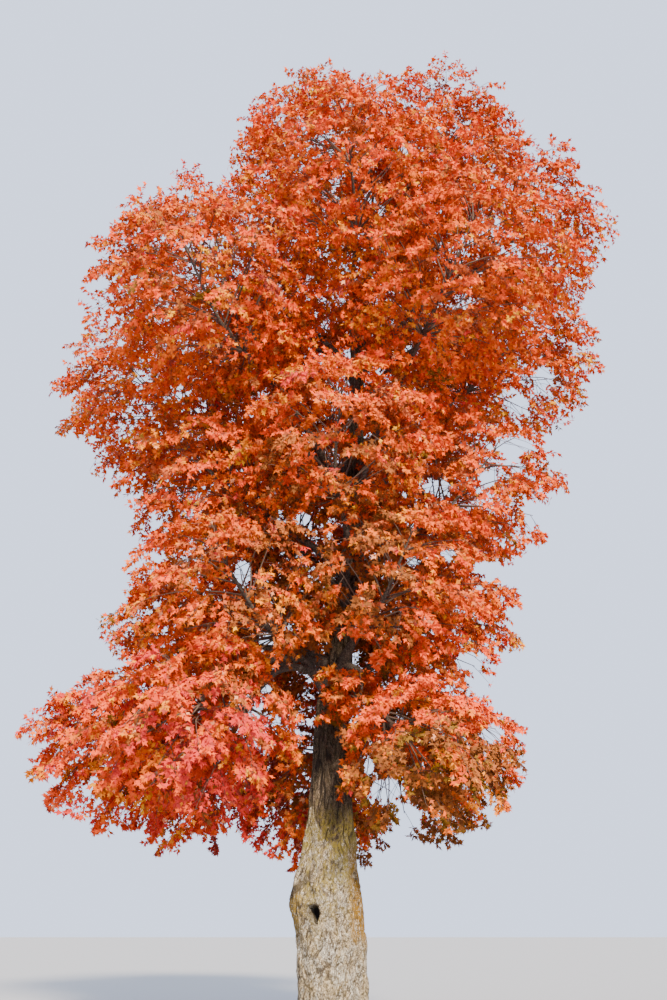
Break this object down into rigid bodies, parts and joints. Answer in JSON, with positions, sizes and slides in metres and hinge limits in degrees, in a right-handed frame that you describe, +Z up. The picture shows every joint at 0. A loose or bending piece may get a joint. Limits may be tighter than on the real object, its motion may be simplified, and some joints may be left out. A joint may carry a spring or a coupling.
{
  "type": "tree",
  "caption": "Tall broadleaf tree in red and orange autumn leaf: a thick pale trunk with a flared foot, rising boughs and a high oval crown, cut flat at ground level.",
  "frame": {"origin": "middle of the flat cut under the trunk, at ground level", "axes": "+Z up along the trunk, +X to the right and -Y towards the viewer as the tree is pictured"},
  "size_m": [12.2756, 10.9219, 20.4095],
  "materials": {
    "pale_bark": "rough pale grey plated bark with yellow-green lichen",
    "dark_bark": "rough dark grey-brown bark",
    "crimson_foliage": "matt autumn leaves, crimson and coral",
    "rust_foliage": "matt autumn leaves, rust and orange",
    "vermilion_foliage": "matt autumn leaves, vermilion",
    "orange_foliage": "matt autumn leaves, orange red"
  },
  "bodies": {
    "root": {"bough_broad_1": "dark_bark", "bough_broad_2": "dark_bark", "bough_broad_3": "dark_bark", "bough_broad_4": "dark_bark", "bough_broad_5": "dark_bark", "bough_middle_1": "dark_bark", "bough_middle_2": "dark_bark", "bough_middle_3": "dark_bark", "bough_middle_4": "dark_bark", "bough_middle_5": "dark_bark", "bough_shoulder_1": "dark_bark", "bough_shoulder_2": "dark_bark", "bough_shoulder_3": "dark_bark", "bough_shoulder_4": "dark_bark", "bough_shoulder_5": "dark_bark", "bough_skirt_1": "dark_bark", "bough_skirt_2": "dark_bark", "bough_skirt_3": "dark_bark", "bough_skirt_4": "dark_bark", "bough_skirt_5": "dark_bark", "bough_skirt_6": "dark_bark", "bough_top_1": "dark_bark", "bough_tuft_1": "dark_bark", "bough_waist_1": "dark_bark", "bough_waist_2": "dark_bark", "bough_waist_3": "dark_bark", "bough_waist_4": "dark_bark", "bough_waist_5": "dark_bark", "foliage_broad_1": "vermilion_foliage", "foliage_broad_2": "vermilion_foliage", "foliage_broad_3": "vermilion_foliage", "foliage_broad_4": "vermilion_foliage", "foliage_broad_5": "vermilion_foliage", "foliage_middle_1": "rust_foliage", "foliage_middle_2": "rust_foliage", "foliage_middle_3": "rust_foliage", "foliage_middle_4": "rust_foliage", "foliage_middle_5": "rust_foliage", "foliage_shoulder_1": "orange_foliage", "foliage_shoulder_2": "orange_foliage", "foliage_shoulder_3": "orange_foliage", "foliage_shoulder_4": "orange_foliage", "foliage_shoulder_5": "orange_foliage", "foliage_skirt_1": "crimson_foliage", "foliage_skirt_2": "crimson_foliage", "foliage_skirt_3": "crimson_foliage", "foliage_skirt_4": "crimson_foliage", "foliage_skirt_5": "crimson_foliage", "foliage_skirt_6": "crimson_foliage", "foliage_top_1": "orange_foliage", "foliage_top_2": "orange_foliage", "foliage_tuft_1": "crimson_foliage", "foliage_waist_1": "rust_foliage", "foliage_waist_2": "rust_foliage", "foliage_waist_3": "rust_foliage", "foliage_waist_4": "rust_foliage", "foliage_waist_5": "rust_foliage", "trunk": "pale_bark"}
  },
  "joints": []
}
